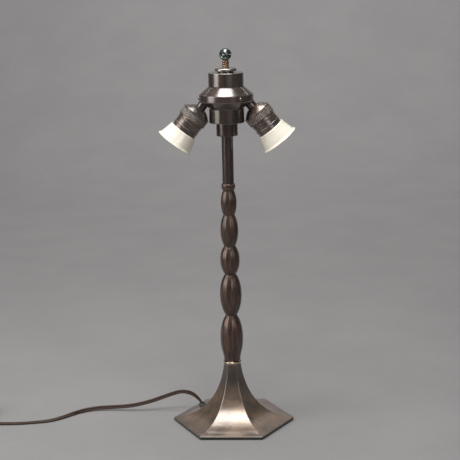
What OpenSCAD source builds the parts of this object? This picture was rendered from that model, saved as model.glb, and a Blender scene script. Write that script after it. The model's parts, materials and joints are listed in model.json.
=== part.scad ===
// Two-light table lamp with a hexagonal trumpet foot and a beaded stem.
// The origin is on the lamp's axis at the level of the table, and +Z is up.
// The foot's corners lie on the X axis, and its flat sides face -Y and +Y.

/* [Foot] */
// Width of the foot across its corners
foot_w = 168; // [140:0.1:202]
// Height of the top of the foot above the table
foot_h = 85.5; // [71:0.1:110]
// Width of the top of the foot across its corners
foot_neck_w = 23; // [20:0.5:30]
// Height of the foot's upright edge
foot_edge_h = 3.5; // [2.5:0.5:6]
// Wall of the foot casting
foot_wall = 3; // [2.5:0.5:4]
// Thickness of the felt under the foot
felt_t = 1.5; // [1:0.5:3]
// Height of the iron weight
ballast_h = 9; // [5:0.5:11]
// Height of the ring between foot and stem
ring_h = 3; // [2:0.5:5]
// Diameter of the ring between foot and stem
ring_d = 24.6; // [22:0.2:30]

/* [Stem] */
// Height of the first bead, the lowest, up to its waist
bead_1_h = 65.5; // [50:0.1:80]
// Diameter of the first bead
bead_1_d = 31.3; // [26:0.1:40]
// Height of the second bead
bead_2_h = 57.8; // [45:0.1:70]
// Diameter of the second bead
bead_2_d = 29.7; // [24:0.1:38]
// Height of the third bead
bead_3_h = 39.2; // [30:0.1:50]
// Diameter of the third bead
bead_3_d = 26.5; // [22:0.1:34]
// Height of the fourth bead
bead_4_h = 43; // [34:0.1:54]
// Diameter of the fourth bead
bead_4_d = 24.2; // [20:0.1:32]
// Height of the fifth bead, the highest
bead_5_h = 33.2; // [26:0.1:42]
// Diameter of the fifth bead
bead_5_d = 21.4; // [18:0.1:28]
// Diameter of the waists between the beads
waist_d = 14.8; // [13.6:0.1:17]
// Height of the collar bead above the fifth bead
collar_bead_h = 10; // [7:0.5:14]
// Diameter of the collar bead
collar_bead_d = 18.6; // [16:0.1:22]

/* [Tube and pipe] */
// Diameter of the plain tube
tube_d = 15.4; // [13:0.1:18]
// Length of the plain tube
tube_len = 64.5; // [40:0.5:120]
// Outer diameter of the threaded pipe that clamps the column
pipe_d = 10; // [9:0.1:11]
// Bore of the threaded pipe
pipe_bore = 7.6; // [6.5:0.1:8]

/* [Cluster] */
// Turn of the cluster about the lamp's axis, in degrees
cluster_turn = 5; // [-30:1:30]
// Diameter of the collar under the cluster
collar_d = 28.5; // [24:0.5:34]
// Height of the collar under the cluster
collar_h = 17.5; // [12:0.5:24]
// Diameter of the lower cup and of the top cap
drum_d = 46.6; // [42:0.1:56]
// Height of the lower cup's upright wall
cup_h = 19; // [16:0.1:26]
// How far the wide band of the cover stands out past the lower cup
band_out = 12.7; // [12.5:0.1:18]
// Height of the wide band of the cover
band_h = 8.5; // [7:0.5:12]
// Height of the cover's cone above the band
cone_h = 10.2; // [8:0.1:14]
// Height of the top cap
cap_h = 18.4; // [14:0.1:24]
// Wall of the spun brass parts
sheet_t = 1.5; // [1.2:0.1:2]
// Diameter of the cover screws' heads
screw_head_d = 4.8; // [4:0.1:6]
// Diameter of the cover screws' threads
screw_d = 3; // [2.5:0.1:3.5]

/* [Shade holder] */
// Height of the boss on the top cap that carries the shade washer
boss_h = 1.8; // [0.5:0.1:4]
// Diameter of the boss on the top cap
boss_d = 20; // [14:0.5:26]
// Diameter of the loose shade washer
washer_d = 28.6; // [24:0.1:34]
// Thickness of the shade washer
washer_t = 3.6; // [2:0.1:5]
// Diameter of the threaded rod
rod_d = 9.5; // [8.6:0.1:10.4]
// Length of the rod above the shade washer
rod_above = 9.9; // [8:0.1:40]
// Play between the rod and the shade washer
washer_play = 0.4; // [0.2:0.05:0.8]
// Diameter of the ball nut
ball_d = 16; // [13:0.1:20]
// Diameter of the cross holes in the ball
ball_hole_d = 6.4; // [4:0.1:7]
// Turn of the cross holes about the lamp's axis, in degrees
ball_turn = 65; // [0:1:89]
// Diameter of the ball's threaded stud
stud_d = 5; // [4:0.1:6]
// Length of the stud inside the rod
stud_len = 6; // [4:0.5:10]

/* [Lampholders] */
// Slope of the lampholders below the horizontal, in degrees
holder_slope = 52; // [43:0.1:62]
// Gap between the lower cup and the brim of a dome cap
holder_gap = 0.6; // [0.4:0.1:6]
// Length of the arms between the cup's shoulder and the dome caps
arm_len = 6.4; // [6:0.1:12]
// Outer diameter of the arms
arm_d = 13.2; // [11:0.1:15]
// Diameter of the threaded ends of the arms
arm_thread_d = 10; // [9:0.1:11]
// Bore of the arms
arm_bore = 7.6; // [6:0.1:8]
// Wall of the knurled rings
knurl_wall = 1.8; // [1.4:0.1:3]
// Height of the knurled rings
knurl_h = 11; // [8:0.5:13]
// Height of the dome caps
dome_h = 9; // [7:0.5:11]
// Length of the barrels that shows below the knurled rings
barrel_show = 17; // [14:0.5:24]
// How far the mouth of a porcelain skirt stands out past its narrow end
skirt_flare = 6.6; // [4:0.1:12]
// Wall of the porcelain skirts at the narrow end
skirt_wall = 2.2; // [1.8:0.1:4]
// Length of the porcelain skirts
skirt_h = 21; // [16:0.5:30]
// Bore of the threaded contact shells
shell_bore = 26.6; // [22:0.1:32]
// Length of the threaded contact shells
shell_len = 18; // [15:0.5:20]
// Wall of the porcelain inserts round the shells
insert_wall = 2.5; // [2:0.1:4]

/* [Cord] */
// Width of the flat twin cord
cord_w = 5.6; // [5:0.1:6.2]
// Diameter of the grommet's head
grommet_d = 9.6; // [9:0.1:12]
// Distance of the grommet from the flat side of the foot
grommet_inset = 11.6; // [10:0.1:14]
// Distance of the grommet from the middle of that side
grommet_aside = 12.3; // [0:0.1:20]
// Length of the plug's body
plug_len = 34; // [30:1:44]
// Diameter of the plug's pins
plug_pin_d = 4; // [4:0.1:4.8]
// Length of the plug's pins outside the body
plug_pin_len = 19; // [17:0.5:20]

/* [Hidden] */
$fn = 64;
play = 0.05;
gap = 0.1;
drum_r = drum_d / 2;
band_r = drum_r + band_out;

// Column: each piece stands on the one below
foot_corners = 6;
flat_ratio = cos(180 / foot_corners);
foot_z = felt_t;
rim_z = felt_t + foot_edge_h;
lip_w = 2;
lip_rise = 0.6;
curve_steps = 14;
hollow_from = 4;
neck_lean = 3.3;
neck_share = 0.69;
belly_out = 0.157;
belly_up = 0.144;
toe_out = 0.464;
ring_z = foot_h;
stem_z = ring_z + ring_h;
bead_hs = [bead_1_h, bead_2_h, bead_3_h, bead_4_h, bead_5_h];
bead_ds = [bead_1_d, bead_2_d, bead_3_d, bead_4_d, bead_5_d];
bead_steps = 8;
function sum_to(v, n) = n == 0 ? 0 : v[n - 1] + sum_to(v, n - 1);
beads_top = stem_z + sum_to(bead_hs, len(bead_hs));
stem_top = beads_top + collar_bead_h;
tube_top = stem_top + tube_len;
cup_z = tube_top + collar_h;
shoulder_z = cup_z + cup_h;
shoulder_slope = 90 - holder_slope;
band_z = shoulder_z + (band_r - drum_r) * tan(shoulder_slope);
band_top = band_z + band_h;
cap_z = band_top + cone_h;
cap_top = cap_z + cap_h;

// Pipe and its fastenings
pipe_hole = pipe_d + 2 * play;
pipe_nut_h = 5;
pipe_nut_w = 17;
pipe_washer_d = 21;
pipe_washer_t = 1.5;
pipe_end = 3;
cup_nut_h = 4;
cup_nut_z = cup_z + sheet_t;
pipe_top = cup_nut_z + cup_nut_h + pipe_end;

// A cubic curve through two ends and two control points, at the share t of its way
function curve_point(a, b, c, d, t) =
    pow(1 - t, 3) * a + 3 * pow(1 - t, 2) * t * b + 3 * (1 - t) * t * t * c + pow(t, 3) * d;

// The foot's slope as [corner radius, height] from its neck to its toe, drawn in by a wall
function slope_point(i, wall) = curve_point(
    [foot_neck_w / 2 - wall, foot_h],
    [foot_neck_w / 2 + neck_lean - wall, foot_h * neck_share],
    [foot_w * belly_out - wall, foot_h * belly_up - wall / 2],
    [foot_w * toe_out - wall, rim_z + lip_rise - wall],
    i / curve_steps);

pipe_washer_z = slope_point(hollow_from, foot_wall)[1] - pipe_washer_t;
pipe_nut_z = pipe_washer_z - pipe_nut_h;
pipe_bottom = pipe_nut_z - pipe_end;

// Weight in the foot
ballast_z = felt_t + gap;
ballast_d = foot_w * 5 / 12;
ballast_hole_d = 30;

// Cover screws
screw_len = 5;
screw_z = band_z + band_h / 2;
screw_count = 3;
screw_first = 60;
screw_head_h = 1.7;
spigot_r = band_r - sheet_t - gap;
spigot_t = 1.3;

// Shade rod and ball nut
cap_plate_t = 2;
rod_nut_h = 4;
rod_nut_w = 15;
rod_foot = cap_top - cap_plate_t - rod_nut_h - 2;
washer_z = cap_top + boss_h + gap;
rod_top = washer_z + washer_t + rod_above;
neck_r = stud_d / 2 + 1;
neck_h = 0.8;
ball_z = rod_top + neck_h + sqrt(pow(ball_d / 2, 2) - pow(neck_r, 2));
ball_chamfer = 0.6;
stud_in_ball = 3.2;
stud_top = ball_z - ball_d / 2 + stud_in_ball;

// Lampholders: each one is built around the contact shell that takes the bulb
shell_wall = 0.6;
barrel_wall = 0.8;
holder_wall = 1;
barrel_d = shell_bore + 2 * (shell_wall + insert_wall + barrel_wall + 2 * gap);
knurl_d = barrel_d + 2 * (gap + knurl_wall);
skirt_neck_d = barrel_d + 2 * (gap + skirt_wall);
skirt_mouth_d = skirt_neck_d + 2 * skirt_flare;
dome_flat_r = 8.5;
dome_r = knurl_d / 2 - 1.2;
brim_r = knurl_d / 2 + 0.3;
dome_brim = 1.3;
dome_steps = 6;
dome_bulge = 1.67;

// Where a lampholder's own axis starts, at the top of the knurled ring, and its parts along it
arm_start = -dome_h - arm_len;
arm_inside = 4.5;
holder_out = drum_r + holder_gap + brim_r * sin(holder_slope) + dome_brim * cos(holder_slope);
arm_out = holder_out - drum_r + arm_start * cos(holder_slope);
holder_z = shoulder_z + arm_out * tan(shoulder_slope) + arm_start * sin(holder_slope);
barrel_end = knurl_h + barrel_show;
barrel_in_skirt = 6;
barrel_bead_h = 1.1;
barrel_bead_rise = 0.6;
barrel_bead_at = [2.9, 11.5];
shell_z = barrel_end + barrel_in_skirt - shell_len;
insert_z = 4;
insert_floor = shell_z - 5;
insert_cover = 10;
contact_d = 8;

// Cord: a free length, a coil of the rest, and the plug on its end
cord_t = 3;
cord_sides = 8;
cord_route = [[-47, 41, 10], [-49, 40.5, 13], [-52.5, 40, 17.5], [-57.5, 39.5, 22.5], [-64.5, 39, 26.5],
    [-73, 38.5, 28.5], [-82, 38, 27.5], [-92, 37.5, 24.5], [-102, 37, 21], [-112, 36.5, 17.5],
    [-122, 36, 14.5], [-135, 36, 11], [-150, 36.5, 8], [-165, 38, 6], [-180, 38.5, 5],
    [-194, 38, 4.4], [-207, 35, 3.8], [-219, 29, 3.2], [-230, 20, 2.6], [-240, 10, 2.2],
    [-250, 1, 2], [-262, -6, 1.8], [-276, -10, 1.7], [-291, -13, 1.6], [-306, -15, 1.6],
    [-322, -15.5, 1.7], [-338, -15, 1.9], [-354, -14.5, 2.2], [-370, -14, 2.5], [-384, -14, 2.7]];
tail_route = [[-418, 20, 11.5], [-418.5, 26, 11.2], [-419, 32, 10.2], [-420, 38, 8.4], [-420, 45, 6.8]];
coil_x = -384;
coil_y = 20;
coil_turn_r = 31;
coil_base = 1;
coil_w = 2 * cord_w + 1;
coil_h = 4 * cord_t + 0.2;
tie_t = 0.9;
tie_w = 6;
tie_angle = 20;
tail_end = tail_route[len(tail_route) - 1];
relief_len = 22;
relief_d = 8.4;
plug_x = tail_end[0];
plug_y = tail_end[1] + relief_len;
plug_z = tail_end[2];
plug_w = 26;
plug_t = 13.4;
plug_round = 5;
plug_pin_gap = 18.6;
plug_pin_in = 9;
plug_pin_core_d = plug_pin_d - 0.6;

// Grommet and the leads from it up through the pipe
grommet_side = 150;
grommet_from_axis = foot_w / 2 * flat_ratio - grommet_inset;
grommet_x = grommet_from_axis * cos(grommet_side) + grommet_aside * cos(grommet_side - 90);
grommet_y = grommet_from_axis * sin(grommet_side) + grommet_aside * sin(grommet_side - 90);
grommet_out = norm([grommet_x, grommet_y]);
grommet_angle = atan2(grommet_y, grommet_x);
grommet_seat = rim_z + 1.4;
grommet_top = 10;
grommet_neck_d = 8;
grommet_bore = 6;
channel_h = 3;
lead_d = 2.4;
lead_apart = 1.3;
lead_low = felt_t + gap + lead_d / 2;

// ---- Shared shapes ----

// One bead as [radius, height] points from its lower waist to its upper waist
function bead_points(h, d, z) = let (
    squeeze = sqrt(1 - pow(waist_d / d, 2)),
    reach = asin(squeeze))
    [for (i = [0 : bead_steps])
        let (a = -reach + 2 * reach * i / bead_steps)
        [d / 2 * cos(a), z + h / 2 * (1 + sin(a) / squeeze)]];

// The rounded dome as [radius, height] points from its flat top to its brim
function dome_points(r, h) = [for (i = [0 : dome_steps])
    let (a = 90 * i / dome_steps)
    [dome_flat_r + (r - dome_flat_r) * pow(sin(a), dome_bulge),
        -dome_brim - (h - dome_brim) * pow(cos(a), dome_bulge)]];

// A flat cord's cross-sections along a route, each as points around the section
function cord_rings(route) = [for (i = [0 : len(route) - 1]) let (
    before = route[max(i - 1, 0)],
    after = route[min(i + 1, len(route) - 1)],
    ahead = (after - before) / norm(after - before),
    level = cross([0, 0, 1], ahead),
    side = level / norm(level),
    up = cross(ahead, side))
    for (k = [0 : cord_sides - 1]) let (a = 360 * (k + 0.5) / cord_sides)
        route[i] + cord_w / 2 * cos(a) * side + cord_t / 2 * sin(a) * up];

module swept_cord(route) {
    last = len(route) - 1;
    n = cord_sides;
    polyhedron(
        points = cord_rings(route),
        faces = concat(
            [[for (k = [0 : n - 1]) n - 1 - k]],
            [[for (k = [0 : n - 1]) last * n + k]],
            [for (i = [0 : last - 1]) for (k = [0 : n - 1])
                [i * n + k, i * n + (k + 1) % n, (i + 1) * n + (k + 1) % n, (i + 1) * n + k]]));
}

module ring(outer_d, inner_d, h) {
    difference() {
        cylinder(d = outer_d, h = h);
        translate([0, 0, -1]) cylinder(d = inner_d, h = h + 2);
    }
}

// A hexagonal nut with a round bore
module nut(width, bore, h) {
    difference() {
        cylinder(d = width / flat_ratio, h = h, $fn = 6);
        translate([0, 0, -1]) cylinder(d = bore, h = h + 2);
    }
}

// Puts its children on a lampholder's axis: side 0 is the right one, side 1 the left one
module at_holder(side) {
    rotate([0, 0, cluster_turn + 180 * side])
        translate([holder_out, 0, holder_z])
        rotate([0, 90 + holder_slope, 0])
        children();
}

// Puts its children on the side of the band, at each cover screw, with +Z pointing outwards
module at_screws() {
    for (i = [0 : screw_count - 1])
        rotate([0, 0, cluster_turn + screw_first + 360 * i / screw_count])
        translate([band_r, 0, screw_z])
        rotate([0, 90, 0])
        children();
}

// ---- Foot ----

module foot() {
    rim_r = foot_w / 2;
    outer = concat([[0, foot_z], [rim_r, foot_z], [rim_r, rim_z - lip_rise], [rim_r - lip_w, rim_z]],
        [for (i = [curve_steps : -1 : 0]) slope_point(i, 0)],
        [[0, foot_h]]);
    inner = concat([[0, foot_z - 1], [slope_point(curve_steps, foot_wall)[0], foot_z - 1]],
        [for (i = [curve_steps : -1 : hollow_from]) slope_point(i, foot_wall)],
        [[0, slope_point(hollow_from, foot_wall)[1]]]);
    color("#4b3f34")
    difference() {
        rotate_extrude($fn = foot_corners) polygon(outer);
        rotate_extrude($fn = foot_corners) polygon(inner);
        cylinder(d = pipe_hole, h = foot_h + 1);
        translate([grommet_x, grommet_y, 0])
            cylinder(d = grommet_neck_d + 2 * play, h = foot_h / 2);
        translate([grommet_x, grommet_y, grommet_seat]) cylinder(d = grommet_d + 1, h = foot_h / 2);
        rotate([0, 0, grommet_angle])
            translate([0, -grommet_bore / 2, 0])
            cube([grommet_out, grommet_bore, felt_t + channel_h]);
    }
}

module base_felt() {
    color("#1d211c")
    cylinder(d = foot_w - 2, h = felt_t, $fn = foot_corners);
}

module ballast() {
    color("#3a3a3c")
    translate([0, 0, ballast_z]) ring(ballast_d, ballast_hole_d, ballast_h);
}

module foot_ring() {
    color("#b08a4a")
    translate([0, 0, ring_z]) ring(ring_d, pipe_hole, ring_h);
}

// ---- Column ----

module stem() {
    seat_r = ring_d / 2 - 1.4;
    collar_r = collar_bead_d / 2;
    beads = [for (n = [0 : len(bead_hs) - 1])
        for (p = bead_points(bead_hs[n], bead_ds[n], stem_z + sum_to(bead_hs, n))) p];
    outline = concat([[0, stem_z], [seat_r, stem_z]],
        [for (p = beads) if (p[1] > stem_z + bead_1_h / 10) p],
        [[collar_r - 0.9, beads_top + 2.4], [collar_r, beads_top + 4.6], [collar_r, stem_top - 1.2],
            [collar_r - 1, stem_top], [0, stem_top]]);
    color("#40332b")
    difference() {
        rotate_extrude() polygon(outline);
        translate([0, 0, stem_z - 1]) cylinder(d = pipe_hole, h = stem_top - stem_z + 2);
    }
}

module stem_tube() {
    color("#3c322c")
    translate([0, 0, stem_top]) ring(tube_d, pipe_hole, tube_len);
}

module tube_collar() {
    color("#3d352f")
    translate([0, 0, tube_top]) ring(collar_d, pipe_hole, collar_h);
}

module lamp_pipe() {
    color("#8f7a4e")
    translate([0, 0, pipe_bottom]) ring(pipe_d, pipe_bore, pipe_top - pipe_bottom);
}

module pipe_washer() {
    color("#77787a")
    translate([0, 0, pipe_washer_z]) ring(pipe_washer_d, pipe_hole, pipe_washer_t);
}

module pipe_nut() {
    color("#77787a")
    translate([0, 0, pipe_nut_z]) nut(pipe_nut_w, pipe_hole, pipe_nut_h);
}

module cup_nut() {
    color("#77787a")
    translate([0, 0, cup_nut_z]) nut(pipe_nut_w, pipe_hole, cup_nut_h);
}

// Two leads from the grommet, over the weight and up through the pipe
module inner_leads() {
    over = ballast_z + ballast_h + lead_d / 2 + gap;
    route = [[grommet_out, grommet_top - 2.6], [grommet_out, lead_low],
        [ballast_d / 2 + 8, lead_low + 1], [ballast_d / 2 + 1, over],
        [ballast_hole_d / 2 - 4, over + 2], [0, pipe_bottom - 6], [0, pipe_top + 6]];
    color("#6b3f22")
    rotate([0, 0, grommet_angle])
    for (side = [-1, 1])
        translate([0, side * lead_apart, 0])
        for (i = [0 : len(route) - 2]) {
            run = route[i + 1] - route[i];
            translate([route[i][0], 0, route[i][1]]) {
                sphere(d = lead_d + 0.1);
                rotate([0, atan2(run[0], run[1]), 0]) cylinder(d = lead_d, h = norm(run));
            }
        }
}

// ---- Cluster ----

module lower_cup() {
    rise = tan(shoulder_slope);
    inside = sheet_t / cos(shoulder_slope);
    seat_r = band_r - 0.5;
    inner_r = spigot_r - spigot_t;
    outline = [[0, cup_z], [drum_r - 0.8, cup_z], [drum_r, cup_z + 0.8], [drum_r, shoulder_z],
        [seat_r, shoulder_z + (seat_r - drum_r) * rise], [seat_r, band_z], [spigot_r, band_z],
        [spigot_r, band_top - 2], [inner_r, band_top - 2],
        [inner_r, shoulder_z + (inner_r - drum_r) * rise + inside],
        [drum_r - sheet_t, shoulder_z - sheet_t * rise + inside],
        [drum_r - sheet_t, cup_z + sheet_t], [0, cup_z + sheet_t]];
    color("#453a33")
    difference() {
        rotate_extrude() polygon(outline);
        translate([0, 0, cup_z - 1]) cylinder(d = pipe_hole, h = sheet_t + 2);
        for (side = [0, 1])
            at_holder(side)
            translate([0, 0, arm_start - arm_inside])
            cylinder(d = arm_thread_d + 2 * play, h = arm_inside + 2);
        at_screws() translate([0, 0, -screw_len - 1]) cylinder(d = screw_d + 2 * play, h = screw_len + 2);
    }
}

module cover() {
    centre_r = 8;
    outline = [[centre_r, cap_z], [drum_r + 0.5, cap_z], [band_r - 0.6, band_top], [band_r, band_top - 0.6],
        [band_r, band_z], [band_r - sheet_t, band_z], [band_r - sheet_t, band_top - 1.2],
        [drum_r - 0.6, cap_z - sheet_t], [centre_r, cap_z - sheet_t]];
    color("#5a5048")
    difference() {
        rotate_extrude() polygon(outline);
        at_screws() translate([0, 0, -screw_len - 1]) cylinder(d = screw_d + 2 * play, h = screw_len + 2);
    }
}

module cover_screws() {
    head_r = screw_head_d / 2;
    slot_w = 0.8;
    slot_deep = 0.7;
    outline = [[0, -screw_len], [screw_d / 2, -screw_len], [screw_d / 2, gap / 2], [head_r, gap / 2],
        [head_r, 0.5], [head_r * 0.85, screw_head_h * 0.65], [head_r * 0.5, screw_head_h * 0.93],
        [0, screw_head_h]];
    color("#8c8479")
    at_screws()
    difference() {
        rotate_extrude() polygon(outline);
        translate([-slot_w / 2, -head_r, screw_head_h - slot_deep]) cube([slot_w, screw_head_d, 1]);
    }
}

module top_cap() {
    hole_r = rod_d / 2 + play;
    boss_top = cap_top + boss_h;
    outline = [[hole_r, boss_top], [boss_d / 2, boss_top], [boss_d / 2, cap_top],
        [drum_r - 0.7, cap_top], [drum_r, cap_top - 0.7], [drum_r, cap_z], [drum_r - sheet_t, cap_z],
        [drum_r - sheet_t, cap_top - cap_plate_t], [hole_r, cap_top - cap_plate_t]];
    color("#4a423d")
    rotate_extrude() polygon(outline);
}

module shade_rod() {
    color("#a5763f")
    difference() {
        translate([0, 0, rod_foot]) cylinder(d = rod_d, h = rod_top - rod_foot);
        translate([0, 0, rod_top - stud_len - 1]) cylinder(d = stud_d + 2 * play, h = stud_len + 2);
    }
}

module rod_nut() {
    color("#8f7a4e")
    translate([0, 0, cap_top - cap_plate_t - rod_nut_h]) nut(rod_nut_w, rod_d + 2 * play, rod_nut_h);
}

module shade_washer() {
    r = washer_d / 2;
    bore_r = rod_d / 2 + washer_play;
    outline = [[bore_r, washer_z], [r - 0.9, washer_z], [r, washer_z + 0.9], [r, washer_z + washer_t - 1.2],
        [r - 1.2, washer_z + washer_t], [bore_r, washer_z + washer_t]];
    color("#8e8378")
    rotate_extrude() polygon(outline);
}

module ball_stud() {
    stud_z = rod_top - stud_len;
    color("#2c302e") {
        translate([0, 0, stud_z]) cylinder(d = stud_d, h = stud_top - stud_z);
        translate([0, 0, rod_top + gap]) cylinder(r = neck_r, h = neck_h - gap);
    }
}

module ball_nut() {
    hole_r = ball_hole_d / 2;
    reach = ball_d / 2;
    mouth = sqrt(pow(reach, 2) - pow(hole_r + ball_chamfer, 2));
    seat_z = rod_top - neck_h;
    color("#2b3130")
    difference() {
        translate([0, 0, ball_z]) sphere(d = ball_d);
        translate([0, 0, seat_z]) cylinder(r = neck_r + 1, h = 2 * neck_h + gap);
        translate([0, 0, seat_z]) cylinder(d = stud_d + 2 * play, h = stud_top + gap - seat_z);
        for (turn = [0 : 90 : 270])
            translate([0, 0, ball_z])
            rotate([0, 90, ball_turn + turn]) {
                cylinder(r = hole_r, h = reach + 1);
                translate([0, 0, mouth - ball_chamfer])
                    cylinder(r1 = hole_r, r2 = hole_r + 2 * ball_chamfer, h = 2 * ball_chamfer);
            }
    }
}

// ---- Lampholders ----

module arm(side) {
    color("#3a302a")
    at_holder(side)
    difference() {
        union() {
            translate([0, 0, arm_start]) cylinder(d = arm_d, h = arm_len);
            translate([0, 0, arm_start - arm_inside])
                cylinder(d = arm_thread_d, h = arm_inside + arm_len + holder_wall);
        }
        translate([0, 0, arm_start - arm_inside - 1])
            cylinder(d = arm_bore, h = arm_inside + arm_len + dome_h);
    }
}

module dome(side) {
    hole_r = arm_thread_d / 2 + play;
    outer = dome_points(dome_r, dome_h);
    inner = dome_points(dome_r - holder_wall, dome_h - holder_wall);
    outline = concat([[hole_r, -dome_h]], outer,
        [[brim_r, -dome_brim], [brim_r, 0], [dome_r - holder_wall, 0]],
        [for (i = [dome_steps : -1 : 0]) inner[i]],
        [[hole_r, holder_wall - dome_h]]);
    color("#6d5545")
    at_holder(side) rotate_extrude() polygon(outline);
}

module knurl_ring(side) {
    color("#5e4b3d")
    at_holder(side) ring(knurl_d, barrel_d + 2 * gap, knurl_h);
}

module barrel(side) {
    r = barrel_d / 2;
    end = barrel_end + barrel_in_skirt;
    bead_r = r + barrel_bead_rise;
    beads = [for (at = barrel_bead_at) let (z = knurl_h + at)
        for (p = [[r, z - barrel_bead_h], [bead_r, z - barrel_bead_h / 3],
            [bead_r, z + barrel_bead_h / 3], [r, z + barrel_bead_h]]) p];
    outline = concat([[r - 3, insert_z - 1], [r, insert_z - 1]], beads,
        [[r, end], [r - barrel_wall, end], [r - barrel_wall, insert_z - gap], [r - 3, insert_z - gap]]);
    color("#6a5444")
    at_holder(side) rotate_extrude() polygon(outline);
}

module skirt(side) {
    neck = skirt_neck_d / 2;
    mouth = skirt_mouth_d / 2;
    bore = barrel_d / 2 + gap;
    top = barrel_end;
    end = barrel_end + skirt_h;
    lip_z = end - 3.4;
    lip_r = mouth - 2.6;
    outline = [[bore, top], [neck - 0.6, top], [neck, top + 0.7], [lip_r, lip_z], [mouth - 1.4, end - 1.6],
        [mouth, end - 1], [mouth, end - 0.4], [mouth - 0.4, end], [mouth - 1.6, end],
        [lip_r - 2.2, lip_z],
        [bore + 0.8, top + barrel_in_skirt + 0.6], [bore, top + barrel_in_skirt + 0.3]];
    color("#ece4cf")
    at_holder(side) rotate_extrude() polygon(outline);
}

module insert(side) {
    outer_r = barrel_d / 2 - barrel_wall - gap;
    shell_r = shell_bore / 2 + shell_wall + gap;
    hole_r = 1.5;
    ledge_r = shell_r - 2;
    outline = [[hole_r, insert_z], [outer_r, insert_z], [outer_r, shell_z + insert_cover],
        [shell_r, shell_z + insert_cover], [shell_r, shell_z], [ledge_r, shell_z],
        [ledge_r, insert_floor], [hole_r, insert_floor]];
    color("#e4dcc8")
    at_holder(side) rotate_extrude() polygon(outline);
}

module shell(side) {
    color("#b98d4a")
    at_holder(side) translate([0, 0, shell_z]) ring(shell_bore + 2 * shell_wall, shell_bore, shell_len);
}

module contact(side) {
    z = insert_floor;
    r = contact_d / 2;
    color("#c09a55")
    at_holder(side)
        rotate_extrude()
        polygon([[0, z], [r, z], [r, z + 0.8], [r * 0.65, z + 1.6], [r * 0.5, z + 2.6], [0, z + 3]]);
}

// ---- Cord ----

module cord_grommet() {
    head_r = grommet_d / 2;
    outline = [[grommet_bore / 2, felt_t + channel_h], [grommet_neck_d / 2, felt_t + channel_h],
        [grommet_neck_d / 2, grommet_seat], [head_r, grommet_seat], [head_r, grommet_top - 1],
        [head_r - 1, grommet_top], [grommet_bore / 2, grommet_top]];
    color("#39463f")
    translate([grommet_x, grommet_y, 0]) rotate_extrude() polygon(outline);
}

module cord() {
    color("#6b3f22") swept_cord(cord_route);
}

module cord_tail() {
    color("#6b3f22") swept_cord(tail_route);
}

module cord_coil() {
    color("#6b3f22")
    translate([coil_x, coil_y, coil_base]) ring(2 * coil_turn_r + coil_w, 2 * coil_turn_r - coil_w, coil_h);
}

module coil_tie() {
    inner_w = coil_w + 0.8;
    outer_w = inner_w + 2 * tie_t;
    color("#2c2420")
    translate([coil_x, coil_y, 0])
    rotate([0, 0, tie_angle])
    translate([coil_turn_r, 0, 0])
    difference() {
        translate([-outer_w / 2, -tie_w / 2, 0])
            cube([outer_w, tie_w, coil_base + coil_h + gap + tie_t]);
        translate([-inner_w / 2, -tie_w, tie_t])
            cube([inner_w, 2 * tie_w, coil_base - tie_t + coil_h + gap]);
    }
}

module cord_relief() {
    color("#3a2a20")
    translate([plug_x, plug_y, plug_z])
    rotate([90, 0, 0]) cylinder(d1 = relief_d, d2 = cord_w + 0.6, h = relief_len);
}

module plug_body() {
    side = plug_w / 2 - plug_round;
    color("#3a2a20")
    difference() {
        translate([plug_x, plug_y + plug_len, plug_z])
            rotate([90, 0, 0])
            linear_extrude(plug_len)
            hull() {
                for (x = [-side, side])
                    for (z = [plug_round - plug_t / 2, plug_t / 2 - plug_round])
                        translate([x, z]) circle(r = plug_round, $fn = 32);
            }
        at_pins() cylinder(d = plug_pin_core_d + 2 * play, h = plug_pin_in + 1);
    }
}

// Puts its children at each pin's inner end, with +Z pointing out of the plug
module at_pins() {
    for (x = [-plug_pin_gap / 2, plug_pin_gap / 2])
        translate([plug_x + x, plug_y + plug_len - plug_pin_in, plug_z])
        rotate([-90, 0, 0])
        children();
}

module plug_pins() {
    r = plug_pin_d / 2;
    core_r = plug_pin_core_d / 2;
    start = plug_pin_in + gap;
    end = plug_pin_in + plug_pin_len;
    outline = [[0, 0], [core_r, 0], [core_r, start], [r, start], [r, end - 1.2], [r - 1, end], [0, end]];
    color("#b9bcc0")
    at_pins() rotate_extrude() polygon(outline);
}

foot();
base_felt();
ballast();
foot_ring();
stem();
stem_tube();
tube_collar();
lamp_pipe();
pipe_washer();
pipe_nut();
cup_nut();
inner_leads();
lower_cup();
cover();
cover_screws();
top_cap();
shade_rod();
rod_nut();
shade_washer();
ball_stud();
ball_nut();
arm(0);  // arm_right
arm(1);  // arm_left
dome(0);  // dome_right
dome(1);  // dome_left
knurl_ring(0);  // knurl_ring_right
knurl_ring(1);  // knurl_ring_left
barrel(0);  // barrel_right
barrel(1);  // barrel_left
skirt(0);  // skirt_right
skirt(1);  // skirt_left
insert(0);  // insert_right
insert(1);  // insert_left
shell(0);  // shell_right
shell(1);  // shell_left
contact(0);  // contact_right
contact(1);  // contact_left
cord_grommet();
cord();
cord_coil();
cord_tail();
coil_tie();
cord_relief();
plug_body();
plug_pins();
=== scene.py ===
# Two-light table lamp in patinated bronze, on a grey studio sweep. Lengths are millimetres, but for the
# sweep's and those inside the finishes, which are metres.
import json
from math import asin, cos, pi, radians, sin, sqrt, tan

import bmesh
import bpy
from mathutils import Matrix, Vector


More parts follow.
